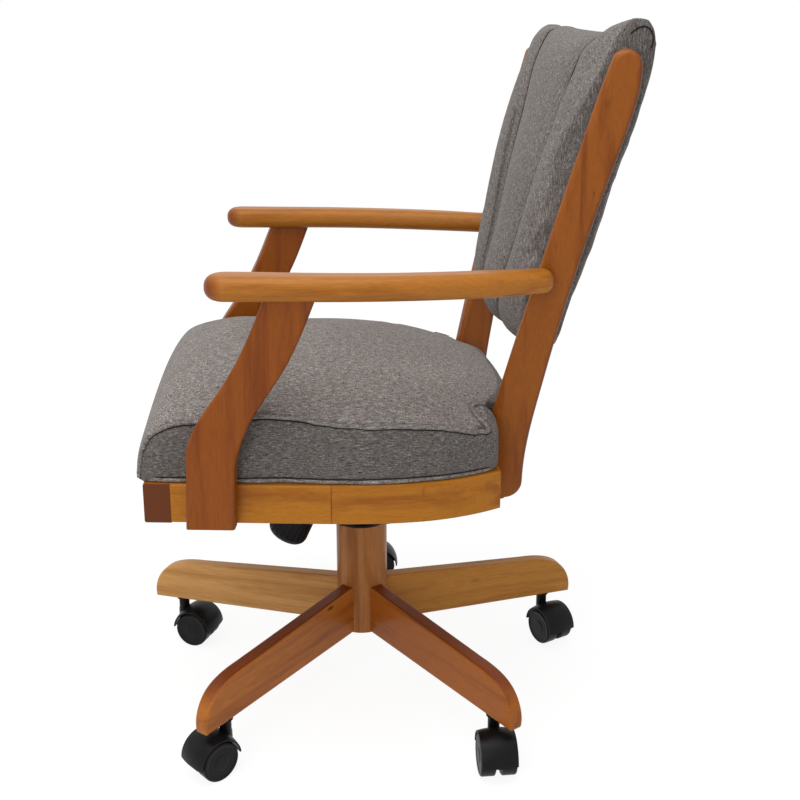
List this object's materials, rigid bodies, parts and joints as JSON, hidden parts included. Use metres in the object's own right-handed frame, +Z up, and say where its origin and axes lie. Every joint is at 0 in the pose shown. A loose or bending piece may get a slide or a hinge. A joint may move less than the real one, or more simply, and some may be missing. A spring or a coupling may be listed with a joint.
{
  "type": "swivel armchair",
  "caption": "Upholstered wooden armchair that swivels and tilts on a star base of plain board legs with twin-wheel casters; padded seat, channelled back, bowed arms.",
  "frame": {"origin": "on the floor, under the axis of the swivel column", "axes": "+Z up, -Y the way the sitter faces, +X the sitter's left; the base and casters stand turned as pictured"},
  "size_m": [0.6275, 0.6322, 0.911],
  "materials": {
    "wood_arm": "satin lacquer",
    "wood_post": "satin lacquer",
    "wood_rail": "satin lacquer",
    "wood_base": "satin lacquer",
    "wood_inner": "unfinished",
    "upholstery": "woven, heathered",
    "wheel_nylon": "satin",
    "hood_plastic": "satin",
    "knob_plastic": "matte",
    "bumper_rubber": "matte",
    "black_steel": "semi-gloss",
    "bright_steel": "zinc plated"
  },
  "bodies": {
    "base": {"hub_column": "wood_base", "leg_1": "wood_base", "leg_2": "wood_base", "leg_3": "wood_base", "leg_4": "wood_base", "leg_5": "wood_base", "leg_dowels": "wood_inner", "swivel_sleeve": "black_steel", "caster_sockets": "bright_steel"},
    "caster_1": {"caster_hood_1": "hood_plastic", "caster_pins_1": "bright_steel"},
    "wheel_a_1": {"caster_wheel_a_1": "wheel_nylon"},
    "wheel_b_1": {"caster_wheel_b_1": "wheel_nylon"},
    "caster_2": {"caster_hood_2": "hood_plastic", "caster_pins_2": "bright_steel"},
    "wheel_a_2": {"caster_wheel_a_2": "wheel_nylon"},
    "wheel_b_2": {"caster_wheel_b_2": "wheel_nylon"},
    "caster_3": {"caster_hood_3": "hood_plastic", "caster_pins_3": "bright_steel"},
    "wheel_a_3": {"caster_wheel_a_3": "wheel_nylon"},
    "wheel_b_3": {"caster_wheel_b_3": "wheel_nylon"},
    "caster_4": {"caster_hood_4": "hood_plastic", "caster_pins_4": "bright_steel"},
    "wheel_a_4": {"caster_wheel_a_4": "wheel_nylon"},
    "wheel_b_4": {"caster_wheel_b_4": "wheel_nylon"},
    "caster_5": {"caster_hood_5": "hood_plastic", "caster_pins_5": "bright_steel"},
    "wheel_a_5": {"caster_wheel_a_5": "wheel_nylon"},
    "wheel_b_5": {"caster_wheel_b_5": "wheel_nylon"},
    "swivel": {"swivel_spindle": "bright_steel", "tilt_housing": "black_steel", "tilt_axle": "bright_steel", "tilt_bumpers": "bumper_rubber", "tension_spring": "bright_steel"},
    "seat": {"seat_bracket": "black_steel", "bracket_screws": "bright_steel", "tension_bolt": "bright_steel", "spring_seat": "black_steel", "seat_battens": "wood_inner", "front_rail": "wood_rail", "rear_rail": "wood_rail", "corner_blocks": "wood_inner", "seat_deck": "wood_inner", "seat_cushion": "upholstery", "back_cushion": "upholstery", "back_panel": "upholstery", "frame_bolts": "bright_steel", "side_rail_left": "wood_rail", "side_rail_right": "wood_rail", "curve_rail_left": "wood_rail", "curve_rail_right": "wood_rail", "arm_post_left": "wood_post", "arm_post_right": "wood_post", "arm_left": "wood_arm", "arm_right": "wood_arm", "back_post_left": "wood_post", "back_post_right": "wood_post"},
    "knob": {"tension_knob": "knob_plastic"}
  },
  "joints": [
    {"name": "seat_swivel", "type": "hinge", "parent": "base", "child": "swivel", "pos_m": [0, 0, 0.24], "axis": [0, 0, 1], "continuous": true},
    {"name": "seat_tilt", "type": "hinge", "parent": "swivel", "child": "seat", "pos_m": [0, -0.00808, 0.25934], "axis": [-1, 0, 0], "range_deg": [0, 12], "stiffness_Nm_per_rad": 140, "springref_deg": -8.02, "deforming": ["tension_spring"]},
    {"name": "knob_turn", "type": "hinge", "parent": "seat", "child": "knob", "pos_m": [0, -0.1091, 0.2095], "axis": [0, 0.4772, 0.8788], "range_deg": [-1080, 1080]},
    {"name": "caster_swivel_1", "type": "hinge", "parent": "base", "child": "caster_1", "pos_m": [0.24445, 0.15038, 0.05], "axis": [0, 0, 1], "continuous": true},
    {"name": "wheel_spin_a_1", "type": "hinge", "parent": "caster_1", "child": "wheel_a_1", "pos_m": [0.26695, 0.15038, 0.0255], "axis": [0, 1, 0], "continuous": true},
    {"name": "wheel_spin_b_1", "type": "hinge", "parent": "caster_1", "child": "wheel_b_1", "pos_m": [0.26695, 0.15038, 0.0255], "axis": [0, 1, 0], "continuous": true},
    {"name": "caster_swivel_2", "type": "hinge", "parent": "base", "child": "caster_2", "pos_m": [-0.06749, 0.27895, 0.05], "axis": [0, 0, 1], "continuous": true},
    {"name": "wheel_spin_a_2", "type": "hinge", "parent": "caster_2", "child": "wheel_a_2", "pos_m": [-0.04726, 0.28882, 0.0255], "axis": [-0.4384, 0.8988, 0], "continuous": true},
    {"name": "wheel_spin_b_2", "type": "hinge", "parent": "caster_2", "child": "wheel_b_2", "pos_m": [-0.04726, 0.28882, 0.0255], "axis": [-0.4384, 0.8988, 0], "continuous": true},
    {"name": "caster_swivel_3", "type": "hinge", "parent": "base", "child": "caster_3", "pos_m": [-0.28615, 0.02202, 0.05], "axis": [0, 0, 1], "continuous": true},
    {"name": "wheel_spin_a_3", "type": "hinge", "parent": "caster_3", "child": "wheel_a_3", "pos_m": [-0.28615, 0.04452, 0.0255], "axis": [-1, 0, 0], "continuous": true},
    {"name": "wheel_spin_b_3", "type": "hinge", "parent": "caster_3", "child": "wheel_b_3", "pos_m": [-0.28615, 0.04452, 0.0255], "axis": [-1, 0, 0], "continuous": true},
    {"name": "caster_swivel_4", "type": "hinge", "parent": "base", "child": "caster_4", "pos_m": [-0.10937, -0.26534, 0.05], "axis": [0, 0, 1], "continuous": true},
    {"name": "wheel_spin_a_4", "type": "hinge", "parent": "caster_4", "child": "wheel_a_4", "pos_m": [-0.09986, -0.24495, 0.0255], "axis": [-0.9063, 0.4226, 0], "continuous": true},
    {"name": "wheel_spin_b_4", "type": "hinge", "parent": "caster_4", "child": "wheel_b_4", "pos_m": [-0.09986, -0.24495, 0.0255], "axis": [-0.9063, 0.4226, 0], "continuous": true},
    {"name": "caster_swivel_5", "type": "hinge", "parent": "base", "child": "caster_5", "pos_m": [0.21856, -0.18601, 0.05], "axis": [0, 0, 1], "continuous": true},
    {"name": "wheel_spin_a_5", "type": "hinge", "parent": "caster_5", "child": "wheel_a_5", "pos_m": [0.23241, -0.20374, 0.0255], "axis": [0.788, 0.6157, 0], "continuous": true},
    {"name": "wheel_spin_b_5", "type": "hinge", "parent": "caster_5", "child": "wheel_b_5", "pos_m": [0.23241, -0.20374, 0.0255], "axis": [0.788, 0.6157, 0], "continuous": true}
  ]
}
